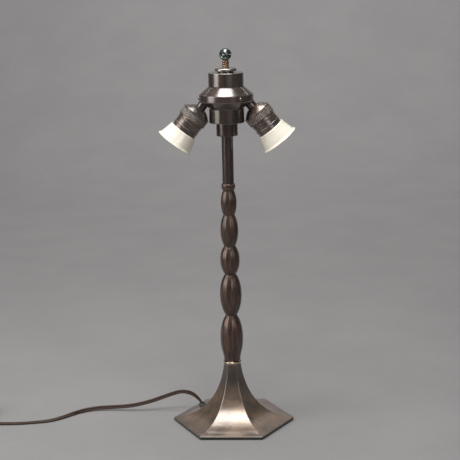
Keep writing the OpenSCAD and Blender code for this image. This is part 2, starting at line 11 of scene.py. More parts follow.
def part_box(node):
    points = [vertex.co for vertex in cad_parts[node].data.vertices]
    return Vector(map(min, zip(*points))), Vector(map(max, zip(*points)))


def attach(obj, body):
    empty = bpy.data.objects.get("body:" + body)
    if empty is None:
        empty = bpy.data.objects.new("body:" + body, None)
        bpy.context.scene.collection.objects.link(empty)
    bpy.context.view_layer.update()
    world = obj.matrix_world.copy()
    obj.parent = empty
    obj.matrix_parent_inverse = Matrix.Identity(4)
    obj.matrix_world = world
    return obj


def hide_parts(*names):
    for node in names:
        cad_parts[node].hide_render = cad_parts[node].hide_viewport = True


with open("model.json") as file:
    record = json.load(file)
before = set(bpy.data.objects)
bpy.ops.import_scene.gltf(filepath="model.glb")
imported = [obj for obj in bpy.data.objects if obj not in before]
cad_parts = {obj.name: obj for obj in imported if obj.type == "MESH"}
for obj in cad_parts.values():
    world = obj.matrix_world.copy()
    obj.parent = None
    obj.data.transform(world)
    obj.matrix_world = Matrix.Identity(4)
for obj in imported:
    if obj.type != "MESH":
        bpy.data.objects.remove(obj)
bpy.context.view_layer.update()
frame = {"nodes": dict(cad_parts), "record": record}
mm = 0.001
nodes = frame["nodes"]
record = frame["record"]
scene = bpy.context.scene
print("frame loaded:", len(nodes), "nodes")


cameraSet = {"place": (86.54, -1560.94, 618.11), "turn": -3.142, "down": 12.45, "roll": -1.318,
             "lens": 92.63, "sensor": 36, "reach": 50000}

lightSet = {
    # name: place, aimed at, width, height, watts, colour
    "windowLeft": ((-1300, -650, 900), (0, 0, 280), 900, 1500, 16.0, (1.0, 0.985, 0.965)),
    "overhead": ((-40, -250, 1400), (-40, -200, 0), 560, 1150, 19.0, (1.0, 0.99, 0.98)),
    "frontFill": ((900, -1700, 900), (0, 0, 200), 900, 900, 6.5, (1.0, 0.98, 0.96)),
    "wallWash": ((0, 1500, 1800), (0, 2400, 600), 2600, 500, 34.0, (1.0, 0.985, 0.985)),
}

worldSet = {"colour": (0.42, 0.412, 0.412), "strength": 0.36}


def placeCamera():
    turn, down, roll = (radians(cameraSet[k]) for k in ("turn", "down", "roll"))
    ahead = Vector((sin(turn) * cos(down), cos(turn) * cos(down), -sin(down)))
    right = Vector((cos(turn), -sin(turn), 0))
    up = right.cross(ahead)
    rolledRight = right * cos(roll) + up * sin(roll)
    rolledUp = up * cos(roll) - right * sin(roll)
    camera = bpy.data.objects.new("camera", bpy.data.cameras.new("camera"))
    camera.data.lens = cameraSet["lens"]
    camera.data.sensor_width = cameraSet["sensor"]
    camera.data.clip_end = cameraSet["reach"] * mm
    axes = Matrix((rolledRight, rolledUp, -ahead)).transposed()
    camera.matrix_world = Matrix.Translation(Vector(cameraSet["place"]) * mm) @ axes.to_4x4()
    scene.collection.objects.link(camera)
    scene.camera = camera


def placeLights():
    for name, (place, target, width, height, power, colour) in lightSet.items():
        lamp = bpy.data.lights.new(name, "AREA")
        lamp.shape = "RECTANGLE"
        lamp.size, lamp.size_y = width * mm, height * mm
        lamp.energy, lamp.color = power, colour
        light = bpy.data.objects.new(name, lamp)
        light.location = Vector(place) * mm
        light.rotation_euler = (Vector(target) - Vector(place)).to_track_quat("-Z", "Y").to_euler()
        scene.collection.objects.link(light)
    world = bpy.data.worlds.new("studio")
    world.use_nodes = True
    sky = world.node_tree.nodes["Background"]
    sky.inputs["Color"].default_value = (*worldSet["colour"], 1)
    sky.inputs["Strength"].default_value = worldSet["strength"]
    scene.world = world
    scene.view_settings.view_transform = "Standard"


def showMesh(shape, name):
    data = bpy.data.meshes.new(name)
    shape.to_mesh(data)
    shape.free()
    data.shade_smooth()
    made = bpy.data.objects.new(name, data)
    scene.collection.objects.link(made)
    return made


class Wire:
    # a shader socket that can be reckoned with; start from Wire(tree)
    def __init__(self, tree, socket=None):
        self.tree = tree
        self.socket = socket

    def node(self, kind, settings=None, inputs=None, out=0):
        made = self.tree.nodes.new("ShaderNode" + kind)
        for key, value in (settings or {}).items():
            setattr(made, key, value)
        for key, value in (inputs or {}).items():
            if isinstance(value, Wire):
                self.tree.links.new(value.socket, made.inputs[key])
            else:
                made.inputs[key].default_value = value
        return Wire(self.tree, made.outputs[out])

    def maths(self, operation, *values):
        return self.node("Math", {"operation": operation}, dict(enumerate(values)))

    def __add__(self, other):
        return self.maths("ADD", self, other)

    def __sub__(self, other):
        return self.maths("SUBTRACT", self, other)

    def __rsub__(self, other):
        return self.maths("SUBTRACT", other, self)

    def __mul__(self, other):
        return self.maths("MULTIPLY", self, other)

    def __pow__(self, other):
        return self.maths("POWER", self, other)

    __radd__ = __add__

    def ease(self, low, high):
        # 0 below low, 1 above high, smooth between
        return self.node("MapRange", {"interpolation_type": "SMOOTHSTEP"},
                         {"Value": self, "From Min": low, "From Max": high})

    def blend(self, first, second):
        # from the first colour to the second as this wire goes from 0 to 1; either may be a wire
        first, second = ((*c, 1) if isinstance(c, tuple) else c for c in (first, second))
        return self.node("Mix", {"data_type": "RGBA"}, {0: self, 6: first, 7: second}, out=2)

    def feed(self, shader, socket):
        self.tree.links.new(self.socket, shader.inputs[socket])


def newFinish(name, **fixed):
    material = bpy.data.materials.new(name)
    material.use_nodes = True
    shader = material.node_tree.nodes["Principled BSDF"]
    for socket, value in fixed.items():
        shader.inputs[socket].default_value = (*value, 1) if isinstance(value, tuple) else value
    return material, shader, Wire(material.node_tree)


def grain(start, spots, scale, detail=3.0, rough=0.55, warp=0.0):
    return start.node("TexNoise", {}, {"Vector": spots, "Scale": scale, "Detail": detail,
                                       "Roughness": rough, "Distortion": warp})


def bump(start, shader, height, depth):
    start.node("Bump", {}, {"Height": height, "Distance": depth * mm}).feed(shader, "Normal")


bronzes = {
    # colours of dark and warm patina and of bare metal, roughness and its unevenness, depth of pits;
    # the others are shares
    "foot": {"dark": (0.13, 0.1, 0.079), "warm": (0.27, 0.185, 0.122), "bare": (0.56, 0.51, 0.43),
             "metal": 0.65, "rough": 0.31, "worn": 0.45, "streak": 0.1, "spots": 0.5, "pits": 0.035,
             "uneven": 0.14, "coat": 0.85},
    "stem": {"dark": (0.02, 0.015, 0.013), "warm": (0.11, 0.054, 0.031), "bare": (0.15, 0.085, 0.052),
             "metal": 0.55, "rough": 0.33, "worn": 0.4, "streak": 0.85, "spots": 0.3, "pits": 0.04,
             "uneven": 0.12, "coat": 0.42},
    "tube": {"dark": (0.04, 0.03, 0.027), "warm": (0.075, 0.044, 0.039), "bare": (0.24, 0.19, 0.16),
             "metal": 0.55, "rough": 0.25, "worn": 0.4, "streak": 0.7, "spots": 0.2, "pits": 0.015,
             "uneven": 0.08, "coat": 0.65},
    "cluster": {"dark": (0.045, 0.041, 0.037), "warm": (0.125, 0.083, 0.068), "bare": (0.5, 0.46, 0.41),
                "metal": 0.6, "rough": 0.24, "worn": 0.55, "streak": 0.6, "spots": 0.3, "pits": 0.015,
                "uneven": 0.06, "coat": 0.75},
    "holder": {"dark": (0.06, 0.05, 0.043), "warm": (0.15, 0.105, 0.085), "bare": (0.68, 0.62, 0.55),
               "metal": 0.65, "rough": 0.28, "worn": 0.8, "streak": 0.1, "spots": 0.35, "pits": 0.015,
               "uneven": 0.08, "coat": 0.6},
}


def bronzeFinish(name, look, ridges=False):
    material, shader, start = newFinish(name, **{"Metallic": look["metal"],
                                                 "Coat Roughness": look["rough"] - 0.06, "Coat IOR": 1.8})
    spots = start.node("TexCoord", out=3)
    cloudy = grain(start, spots, 42, 4, 0.6, 0.6)
    fine = grain(start, spots, 420, 5, 0.65)
    long = start.node("Mapping", {}, {"Vector": spots, "Scale": (1.0, 1.0, 0.07)})
    streaks = grain(start, long, 330, 3, 0.6)
    wear = start.node("Attribute", {"attribute_name": "wear"}, out=2)
    hollow = start.node("Attribute", {"attribute_name": "hollow"}, out=2)
    mottle = (cloudy * (1 - look["streak"]) + streaks * look["streak"]).ease(0.33, 0.68)
    skin = mottle.blend(look["dark"], look["warm"])
    flecks = fine.ease(0.52, 0.7) * look["spots"]
    skin = flecks.blend(skin, tuple(c * 0.35 for c in look["dark"]))
    rubbed = (wear + (fine - 0.5) * 0.5 + (cloudy - 0.5) * 0.35).ease(0.35, 1.0) * look["worn"]
    if ridges:
        # the six ridges of the foot, as a distance from the nearest one
        across = start.node("SeparateXYZ", {}, {"Vector": spots})
        x, y, z = (Wire(start.tree, across.socket.node.outputs[k]) for k in range(3))
        away = start.maths("PINGPONG", start.maths("ARCTAN2", y, x), pi / 6)
        away = away * (x * x + y * y) ** 0.5
        ridge = (1 - away.ease(0.0001, 0.001)) * z.ease(0.008, 0.02) * (1 - z.ease(0.02, 0.06) * 0.85)
        bright = ridge * (fine + 0.35).ease(0.55, 0.95) * 0.35
        rubbed = start.maths("MAXIMUM", rubbed * z.ease(0.003, 0.006), bright)
        # painted shade: darker towards the neck
        skin = (z.ease(0.036, 0.064) * 0.8).blend(skin, (0.045, 0.031, 0.025))
        skin = (z.ease(0.0052, 0.0044) * 0.9).blend(skin, (0.012, 0.009, 0.007))
    skin = rubbed.blend(skin, look["bare"])
    # painted shade: the bronze goes darker in concave hollows
    skin = (hollow.ease(0.3, 1.0) * 0.9).blend(skin, tuple(c * 0.25 for c in look["dark"]))
    skin.feed(shader, "Base Color")
    gloss = look["rough"] + (fine + cloudy - 1) * look["uneven"] - rubbed * 0.06 + hollow * 0.3
    gloss.feed(shader, "Roughness")
    ((1 - hollow.ease(0.2, 0.9)) * look["coat"]).feed(shader, "Coat Weight")
    bump(start, shader, fine * 0.6 + cloudy * 0.4 + grain(start, spots, 1500, 2) * 0.3, look["pits"])
    return material


def brightFinish(name, colour, tarnishAndShade, rough, fleck=0.3):
    material, shader, start = newFinish(name, Metallic=1.0)
    spots = start.node("TexCoord", out=3)
    cloudy = grain(start, spots, 90, 4, 0.6, 0.4)
    fine = grain(start, spots, 700, 4, 0.6)
    hollow = start.node("Attribute", {"attribute_name": "hollow"}, out=2)
    specks = (cloudy * 0.6 + fine * 0.4).ease(0.45, 0.7) * fleck
    # tarnish specks, and painted shade in concave hollows and thread roots
    specksAndShade = start.maths("MAXIMUM", specks, hollow.ease(0.1, 0.8))
    skin = specksAndShade.blend(colour, tarnishAndShade)
    # painted shade: darker still deep in the hollows
    (hollow.ease(0.3, 1.0) * 0.85).blend(skin, tuple(c * 0.2 for c in tarnishAndShade)).feed(shader, "Base Color")
    (rough + specksAndShade * 0.25 + (fine - 0.5) * 0.12).feed(shader, "Roughness")
    bump(start, shader, fine + grain(start, spots, 2600, 2) * 0.4, 0.02)
    return material


def glazeFinish(name, colour, shade, rough):
    material, shader, start = newFinish(name, **{"IOR": 1.52, "Coat Weight": 0.6, "Coat Roughness": 0.08,
                                                 "Subsurface Weight": 0.08, "Subsurface Scale": 0.003})
    spots = start.node("TexCoord", out=3)
    cloudy = grain(start, spots, 60, 3, 0.5)
    fine = grain(start, spots, 900, 3, 0.6)
    hollow = start.node("Attribute", {"attribute_name": "hollow"}, out=2)
    # cloudy tone and flecks of the glaze, plus painted shade in the hollows
    tint = (cloudy.ease(0.35, 0.7) * 0.35 + fine.ease(0.62, 0.75) * 0.25 + hollow * 0.7)
    tint.blend(colour, shade).feed(shader, "Base Color")
    (rough + (cloudy - 0.5) * 0.1).feed(shader, "Roughness")
    bump(start, shader, cloudy + fine * 0.15, 0.05)
    return material


def plainFinish(name, dark, light, rough, scale=500, depth=0.05, **fixed):
    material, shader, start = newFinish(name, **fixed)
    spots = start.node("TexCoord", out=3)
    cloudy = grain(start, spots, scale / 10, 3, 0.6)
    fine = grain(start, spots, scale, 4, 0.65)
    (cloudy * 0.5 + fine * 0.5).ease(0.35, 0.65).blend(dark, light).feed(shader, "Base Color")
    (rough + (fine - 0.5) * 0.25).feed(shader, "Roughness")
    bump(start, shader, fine, depth)
    return material


def feltFinish():
    material, shader, start = newFinish("felt", **{"Sheen Weight": 0.5, "Sheen Roughness": 0.6})
    spots = start.node("TexCoord", out=3)
    fibres = start.node("TexVoronoi", {"feature": "SMOOTH_F1"},
                        {"Vector": spots, "Scale": 900.0, "Smoothness": 1.0})
    cloudy = grain(start, spots, 300, 6, 0.7, 1.5)
    tint = (fibres * 0.5 + cloudy * 0.6).ease(0.3, 0.8)
    tint.blend((0.012, 0.02, 0.013), (0.05, 0.07, 0.05)).feed(shader, "Base Color")
    (0.85 + cloudy * 0.1).feed(shader, "Roughness")
    bump(start, shader, fibres + cloudy, 0.25)
    return material


def sheathFinish():
    # soft brown insulation, with painted shade darkening the groove; the piece's own map runs round it (x)
    # and along it (y)
    material, shader, start = newFinish("cordSheath", **{"IOR": 1.4, "Coat Weight": 0.06,
                                                         "Coat Roughness": 0.3})
    strip = start.node("TexCoord", out=2)
    hollow = start.node("Attribute", {"attribute_name": "hollow"}, out=2)
    drawn = start.node("Mapping", {}, {"Vector": strip, "Scale": (60.0, 12.0, 1.0)})
    lines = grain(start, drawn, 1.0, 3, 0.6)
    cloudy = grain(start, start.node("TexCoord", out=3), 120, 3)
    skin = (lines * 0.6 + cloudy * 0.4).ease(0.35, 0.65).blend((0.026, 0.012, 0.007), (0.075, 0.038, 0.021))
    # painted shade in the groove between the two wires
    skin = (hollow.ease(0.0, 0.55) * 0.95).blend(skin, (0.008, 0.004, 0.003))
    skin.feed(shader, "Base Color")
    (0.4 + lines * 0.2 + hollow * 0.2).feed(shader, "Roughness")
    bump(start, shader, lines, 0.04)
    return material


def paperFinish():
    material, shader, start = newFinish("sweep", **{"Specular IOR Level": 0.2})
    spots = start.node("TexCoord", out=3)
    cloudy = grain(start, spots, 6, 4, 0.6)
    cloudy.ease(0.3, 0.7).blend((0.235, 0.229, 0.231), (0.251, 0.244, 0.246)).feed(shader, "Base Color")
    (0.85 + cloudy * 0.05).feed(shader, "Roughness")
    return material


finish = {name: bronzeFinish(name + "Bronze", look, name == "foot") for name, look in bronzes.items()}
finish.update({
    "brightBrass": brightFinish("brightBrass", (0.66, 0.56, 0.42), (0.2, 0.14, 0.09), 0.2, 0.5),
    "rodBrass": brightFinish("rodBrass", (0.56, 0.36, 0.23), (0.1, 0.06, 0.04), 0.34, 0.5),
    "rawBrass": brightFinish("rawBrass", (0.55, 0.42, 0.22), (0.25, 0.17, 0.08), 0.38, 0.6),
    "contactBrass": brightFinish("contactBrass", (0.75, 0.6, 0.32), (0.35, 0.24, 0.1), 0.25),
    "washer": brightFinish("washerMetal", (0.36, 0.33, 0.3), (0.17, 0.14, 0.12), 0.34, 0.5),
    "screw": brightFinish("screwSteel", (0.34, 0.31, 0.28), (0.1, 0.08, 0.065), 0.28, 0.5),
    "ball": brightFinish("ballMetal", (0.13, 0.15, 0.145), (0.05, 0.058, 0.055), 0.26, 0.25),
    "steel": brightFinish("steel", (0.45, 0.45, 0.45), (0.25, 0.22, 0.2), 0.4, 0.5),
    "nickel": brightFinish("pinNickel", (0.78, 0.77, 0.74), (0.5, 0.48, 0.44), 0.16, 0.2),
    "iron": plainFinish("castIron", (0.05, 0.05, 0.052), (0.12, 0.115, 0.11), 0.65, 700, 0.15, Metallic=0.8),
    "porcelain": glazeFinish("porcelain", (0.84, 0.8, 0.7), (0.72, 0.64, 0.5), 0.22),
    "insert": glazeFinish("insertPorcelain", (0.8, 0.77, 0.69), (0.6, 0.54, 0.44), 0.45),
    "grommet": plainFinish("grommetRubber", (0.018, 0.028, 0.024), (0.07, 0.095, 0.08), 0.5, 600, 0.05),
    "leads": plainFinish("leadSleeve", (0.14, 0.06, 0.03), (0.24, 0.12, 0.06), 0.6, 800, 0.05),
    "plug": plainFinish("plugBrown", (0.035, 0.02, 0.014), (0.06, 0.036, 0.025), 0.32, 900, 0.02),
    "tie": plainFinish("tieStrap", (0.02, 0.017, 0.015), (0.05, 0.042, 0.036), 0.7, 1200, 0.1),
    "felt": feltFinish(),
    "sheath": sheathFinish(),
})
print("finishes:", len(finish))


def markEdges(shape, sharp, creaseShade):
    # wear gathers on convex edges, and concave ones get a hollow mark that the finishes paint as shade;
    # the finishes read both; shapes marked by their heights keep those marks
    if shape.verts.layers.float.get("wear"):
        return
    wear = shape.verts.layers.float.new("wear")
    hollow = shape.verts.layers.float.new("hollow")
    for v in shape.verts:
        bends = [e.calc_face_angle_signed(0) for e in v.link_edges if len(e.link_faces) == 2]
        if bends:
            v[wear] = max(0, min(1, max(bends) / sharp))
            v[hollow] = max(0, min(1, -min(bends) / sharp)) * creaseShade


def markHeights(shape, low, high):
    # the same marks from the distance to the axis, for threads and knurling: wear on the crests, and at the
    # roots a hollow mark that is painted as shade
    wear = shape.verts.layers.float.new("wear")
    hollow = shape.verts.layers.float.new("hollow")
    for v in shape.verts:
        share = max(0, min(1, (v.co.xy.length / mm - low) / (high - low)))
        v[wear] = share ** 2
        v[hollow] = 1 - share


def closeShape(shape):
    bmesh.ops.remove_doubles(shape, verts=shape.verts[:], dist=1e-6)
    bmesh.ops.dissolve_degenerate(shape, edges=shape.edges[:], dist=1e-7)
    bmesh.ops.recalc_face_normals(shape, faces=shape.faces[:])


def bevel(shape, edges, offset, segments, kind="OFFSET"):
    bmesh.ops.bevel(shape, geom=edges, offset=offset, offset_type=kind, segments=segments, affect="EDGES",
                    profile=0.5, material=-1, clamp_overlap=True)


def roundEdges(shape, offset):
    sharp = [e for e in shape.edges if len(e.link_faces) == 2 and e.calc_face_angle(0) > radians(25)]
    if sharp and offset:
        bevel(shape, sharp, offset * mm, 3)


def isLevel(e, slack=1e-6):
    return abs(e.verts[0].co.z - e.verts[1].co.z) < slack


def shortenEdges(shape, longest):
    for e in shape.edges[:]:
        cuts = int(e.calc_length() / (longest * mm))
        if cuts:
            bmesh.ops.subdivide_edges(shape, edges=[e], cuts=cuts)


def turned(outline, steps=96, closed=True, edge=0.35, longest=1.6, phase=0.0):
    # an outline of (radius, height) turned about the axis
    shape = bmesh.new()
    points = [shape.verts.new((r * mm * cos(phase), r * mm * sin(phase), z * mm)) for r, z in outline]
    pairs = list(zip(points, points[1:])) + ([(points[-1], points[0])] if closed else [])
    for pair in pairs:
        if max(pair[0].co.xy.length, pair[1].co.xy.length) > 1e-6:
            shape.edges.new(pair)
    shortenEdges(shape, longest)
    bmesh.ops.spin(shape, geom=shape.verts[:] + shape.edges[:], cent=(0, 0, 0), axis=(0, 0, 1),
                   angle=2 * pi, steps=steps, use_merge=True)
    closeShape(shape)
    roundEdges(shape, edge)
    return shape


def finishPiece(shape, name, slot, look, stands=(), body="root", place=None, sharp=0.55, creaseShade=1.0):
    # stands are the nodes that the piece takes the place of
    if place is not None:
        shape.transform(place)
    markEdges(shape, sharp, creaseShade)
    piece = showMesh(shape, name)
    piece.data.materials.append(finish[look])
    piece.modifiers.new("evenShade", "WEIGHTED_NORMAL").keep_sharp = True
    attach(piece, body)
    if stands:
        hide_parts(*stands)


def refinish(node, look):
    # for a node that keeps its own mesh
    nodes[node].data.materials.clear()
    nodes[node].data.materials.append(finish[look])


def spanOf(node):
    # radius, lowest and highest point of a round node on the lamp's axis, in millimetres
    low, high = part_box(node)
    return (high[0] - low[0]) / 2 / mm, low[2] / mm, high[2] / mm


def curveAt(points, t):
    a, b, c, d = (Vector(p) for p in points)
    return a * (1 - t) ** 3 + b * 3 * t * (1 - t) ** 2 + c * 3 * t * t * (1 - t) + d * t ** 3


# the camera, sweep and cord come before the rest of the lamp
placeCamera()
placeLights()


sweepSet = {"front": -6, "bend": 1.6, "radius": 1.2, "wall": 2.8, "height": 5, "left": -5, "width": 10}


def makeSweep():
    s = sweepSet
    shape = bmesh.new()
    line = [(s["front"], 0), (s["bend"], 0)]
    for turn in range(15, 91, 15):
        a = radians(turn)
        line.append((s["bend"] + s["radius"] * sin(a), s["radius"] - s["radius"] * cos(a)))
    line += [(s["wall"], s["height"])]
    edge = [shape.verts.new((s["left"], y, z)) for y, z in line]
    edges = [shape.edges.new(pair) for pair in zip(edge, edge[1:])]
    grown = bmesh.ops.extrude_edge_only(shape, edges=edges)
    across = [v for v in grown["geom"] if isinstance(v, bmesh.types.BMVert)]
    bmesh.ops.translate(shape, verts=across, vec=(s["width"], 0, 0))
    bmesh.ops.recalc_face_normals(shape, faces=shape.faces[:])
    if shape.faces[0].normal.z < 0:
        bmesh.ops.reverse_faces(shape, faces=shape.faces[:])
    sweep = showMesh(shape, "sweep")
    sweep.data.materials.append(paperFinish())


makeSweep()
print("studio ready")

cordSet = {
    "width": 5.6, "thick": 2.9, "lobes": 1.35, "sides": 20, "web": 150, "groove": 1.0, "step": 2.6,
    "lean": 0.92, "leanOver": 25, "clear": 0.05, "flatBefore": 12, "perTurn": 28, "change": 0.16,
    "route": [(-47, 41, 10), (-49, 40.5, 13), (-52.5, 40, 17.5), (-57.5, 39.5, 22.5), (-64.5, 39, 26.5),
              (-73, 38.5, 28.5), (-82, 38, 27.5), (-92, 37.5, 24.5), (-102, 37, 21), (-112, 36.5, 17.5),
              (-122, 36, 14.5), (-135, 36, 11), (-150, 36.5, 8), (-165, 38, 6), (-180, 38.5, 5),
              (-194, 38, 4.4), (-207, 35, 3.8), (-219, 29, 3.2), (-230, 20, 2.6), (-240, 10, 2.2),
              (-250, 1, 2), (-262, -6, 1.8), (-276, -10, 1.7), (-291, -13, 1.6), (-306, -15, 1.6),
              (-322, -15.5, 1.7), (-338, -15, 1.9), (-354, -14.5, 2.2), (-370, -14, 2.5)],
    "coil": (-384, 20), "outer": 33.9, "inner": 28.1, "base": 2.6, "layer": 3.02, "turns": 7.25,
    "tail": [(-418, 26, 11.4), (-419, 32, 10.2), (-420, 38, 8.4), (-420, 45, 6.9), (-420, 52, 6.8)],
}


def coilPoint(t):
    # t counts turns; each stretch of the wind stays in one column of one layer
    columns = [("outer", 0), ("inner", 0), ("inner", 1), ("outer", 1), ("outer", 2), ("inner", 2),
               ("inner", 3), ("outer", 3)]
    stretch = cordSet["turns"] / len(columns)

    def seat(k):
        side, layer = columns[max(0, min(len(columns) - 1, k))]
        return cordSet[side], cordSet["base"] + cordSet["layer"] * layer

    k = int(t / stretch + 0.5)
    share = max(0, min(1, (t - k * stretch) / cordSet["change"] + 0.5))
    share = share * share * (3 - 2 * share)
    (r0, z0), (r1, z1) = seat(k - 1), seat(k)
    r, z = r0 + (r1 - r0) * share, z0 + (z1 - z0) * share
    angle = -pi / 2 - 2 * pi * t
    return Vector((cordSet["coil"][0] + r * cos(angle), cordSet["coil"][1] + r * sin(angle), z))


def smoothRoute(points, step):
    # an even walk along a smooth line through the points
    fine = []
    for i in range(len(points) - 1):
        before, here, there, after = (points[max(0, min(len(points) - 1, i + k))] for k in (-1, 0, 1, 2))
        for t in (0, 0.25, 0.5, 0.75):
            bend = 2 * before - 5 * here + 4 * there - after
            twist = 3 * here - before - 3 * there + after
            fine.append(0.5 * (2 * here + (there - before) * t + bend * t * t + twist * t ** 3))
    fine.append(points[-1])
    even, left = [fine[0]], step
    for here, there in zip(fine, fine[1:]):
        span = (there - here).length
        gone = left
        while gone < span:
            even.append(here.lerp(there, gone / span))
            gone += step
        left = gone - span
    if (even[-1] - fine[-1]).length < step / 2:
        even.pop()
    return even + [fine[-1]]


def makeCord():
    s = cordSet
    wound = [coilPoint(i / s["perTurn"]) for i in range(int(s["turns"] * s["perTurn"]) + 1)]
    ends = [[Vector(p) for p in s[part]] for part in ("route", "tail")]
    path = smoothRoute(ends[0] + wound + ends[1], s["step"])
    outline = []
    reach = s["thick"] / 2
    for k in range(s["sides"]):
        # two round wires side by side, joined by a web
        a = 2 * pi * (k + 0.5) / s["sides"]
        side = 1 if cos(a) > 0 else -1
        b = a if side > 0 else pi - a
        b = max(-1, min(1, b / (pi / 2) if b <= pi else (b - 2 * pi) / (pi / 2))) * radians(s["web"])
        outline.append((side * (s["lobes"] + reach * cos(b)), reach * sin(b)))
    shape = bmesh.new()
    hollow = shape.verts.layers.float.new("hollow")
    around = shape.loops.layers.uv.new("strip")
    rings, lengths, gone = [], [], 0.0
    flatFrom = s["coil"][0] + s["outer"] + s["flatBefore"]
    for i, here in enumerate(path):
        ahead = (path[min(i + 1, len(path) - 1)] - path[max(i - 1, 0)]).normalized()
        across = Vector((0, 0, 1)).cross(ahead).normalized()
        up = ahead.cross(across)
        room = (here.z - reach - s["clear"]) / s["lobes"] if here.x > flatFrom else 0
        tilt = asin(max(0, min(s["lean"], room))) * min(1, gone / s["leanOver"])
        aside, above = across * cos(tilt) - up * sin(tilt), up * cos(tilt) + across * sin(tilt)
        ring = [shape.verts.new((here + aside * u + above * w) * mm) for u, w in outline]
        for v, (u, w) in zip(ring, outline):
            # the groove mark that the sheath paints as shade
            v[hollow] = max(0, 1 - abs(u) / s["groove"])
        rings.append(ring)
        gone += (here - path[i - 1]).length if i else 0
        lengths.append(gone)
    n = s["sides"]
    for i in range(len(rings) - 1):
        for k in range(n):
            m = (k + 1) % n
            face = shape.faces.new((rings[i][k], rings[i][m], rings[i + 1][m], rings[i + 1][k]))
            for loop, (u, v) in zip(face.loops, ((k, i), (k + 1, i), (k + 1, i + 1), (k, i + 1))):
                loop[around].uv = (u / n, lengths[v] * mm)
    shape.faces.new(rings[0][::-1])
    shape.faces.new(rings[-1])
    bmesh.ops.recalc_face_normals(shape, faces=shape.faces[:])
    cord = showMesh(shape, "twinCord")
    cord.data.materials.append(finish["sheath"])
    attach(cord, "root")
    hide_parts("cord", "cord_coil", "cord_tail")
    print("cord:", round(gone), "mm")
    return cord, gone, [p * mm for p in path]


cord, cordLength, cordPath = makeCord()
print("cord laid")


footSet = {"neckLean": 3.3, "neckShare": 0.69, "bellyOut": 0.157, "bellyUp": 0.144, "toeOut": 0.464,
           "neckWidth": 23, "edgeHeight": 3.5, "lip": 2.0, "lipRise": 0.6, "steps": 34, "wall": 3.0,
           "boreTo": 0.55, "belly": (4, 6), "toe": (12, 2.5), "ridge": 0.7, "rim": 0.45, "rimFrom": 5}


def makeFoot():
    s = footSet
    low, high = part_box("foot")
    corner, bottom, top = (high[0] - low[0]) / 2 / mm, low[2] / mm, high[2] / mm
    width, rim, neck = 2 * corner, bottom + s["edgeHeight"], s["neckWidth"] / 2
    slope = [(neck, top), (neck + s["neckLean"], top * s["neckShare"]),
             (width * s["bellyOut"], top * s["bellyUp"]), (width * s["toeOut"], rim + s["lipRise"])]
    outline = [(corner - s["wall"], bottom), (corner, bottom), (corner, rim - s["lipRise"]),
               (corner - s["lip"], rim)]
    outline += [tuple(curveAt(slope, 1 - i / s["steps"])) for i in range(s["steps"] + 1)]
    outline += [(neck - s["wall"], top), (neck - s["wall"], top * s["boreTo"])]
    inside = [(width * s["bellyOut"] - s["belly"][0], top * s["bellyUp"] + s["belly"][1]),
              (corner - s["toe"][0], bottom + s["toe"][1])]
    shape = turned(outline + inside, steps=6, edge=0, longest=9)
    across = {e for e in shape.edges
              if isLevel(e) and abs(e.verts[0].co.xy.length - e.verts[1].co.xy.length) < 1e-6}
    ridges = [e for e in shape.edges if e not in across and e.calc_face_angle(0) > radians(12)]
    bevel(shape, ridges, s["ridge"] * mm, 3)
    rims = [e for e in shape.edges
            if e.calc_face_angle(0) > radians(25) and e.calc_length() > s["rimFrom"] * mm]
    bevel(shape, rims, s["rim"] * mm, 2)
    finishPiece(shape, "footCasting", "foot_bronze", "foot", ["foot"])


makeFoot()


pipeHole = 5.2  # radius of the hole through ring, tube, collar, cup and washer


def makeFootRing():
    r, low, high = spanOf("foot_ring")
    shape = turned([(pipeHole, low), (r - 0.6, low), (r, low + 0.7), (r, high - 0.7), (r - 0.6, high),
                    (pipeHole, high)], edge=0.3)
    finishPiece(shape, "brassRing", "bright_brass", "brightBrass", ["foot_ring"])


makeFootRing()
print("foot done")

stemSet = {"beads": [(65.5, 31.3), (57.8, 29.7), (39.2, 26.5), (43.0, 24.2), (33.2, 21.4)],
           "waist": 14.8, "waistRound": 3.2, "waistsFrom": 30, "waistsTo": 20, "facets": 12, "turn": 8,
           "flute": 20, "collarBead": 18.6, "seat": 10.9, "steps": 22, "bore": 5.05,
           "collarFoot": ((1.1, 1.6), (0.3, 3.0), (0, 5.0)), "collarTop": ((0, 1.6), (0.4, 0.5), (1.2, 0))}


def makeStem():
    s = stemSet
    low, high = spanOf("stem")[1:]
    z = low
    outline = [(s["bore"], low), (s["seat"], low)]
    for height, width in s["beads"]:
        squeeze = sqrt(1 - (s["waist"] / width) ** 2)
        reach = asin(squeeze)
        for i in range(s["steps"] + 1):
            a = -reach + 2 * reach * i / s["steps"]
            point = (width / 2 * cos(a), z + height / 2 * (1 + sin(a) / squeeze))
            if point[1] > low + height / 10 and (i or z == low):
                outline.append(point)
        z += height
    neck = s["collarBead"] / 2
    outline += [(neck - u, z + w) for u, w in s["collarFoot"]]
    outline += [(neck - u, high - w) for u, w in s["collarTop"]] + [(s["bore"], high)]
    stretch = 1 / cos(pi / s["facets"]) ** 0.5
    outline = [(u if u <= s["bore"] else u * stretch, w) for u, w in outline]
    shape = turned(outline, steps=s["facets"], edge=0, longest=3, phase=radians(s["turn"]))
    skin = s["bore"] + 1
    waists = [e for e in shape.edges if isLevel(e)
              and low + s["waistsFrom"] < e.verts[0].co.z / mm < high - s["waistsTo"]
              and skin < e.verts[0].co.xy.length / mm < s["waist"] / 2 * stretch + 0.05]
    bevel(shape, waists, s["waistRound"] * mm, 4)
    flutes = [e for e in shape.edges if not isLevel(e, 1e-5)
              and min(v.co.xy.length for v in e.verts) > skin * mm]
    bevel(shape, flutes, s["flute"], 4, "PERCENT")
    finishPiece(shape, "beadedStem", "stem_bronze", "stem", ["stem"], sharp=0.2, creaseShade=0.25)


makeStem()


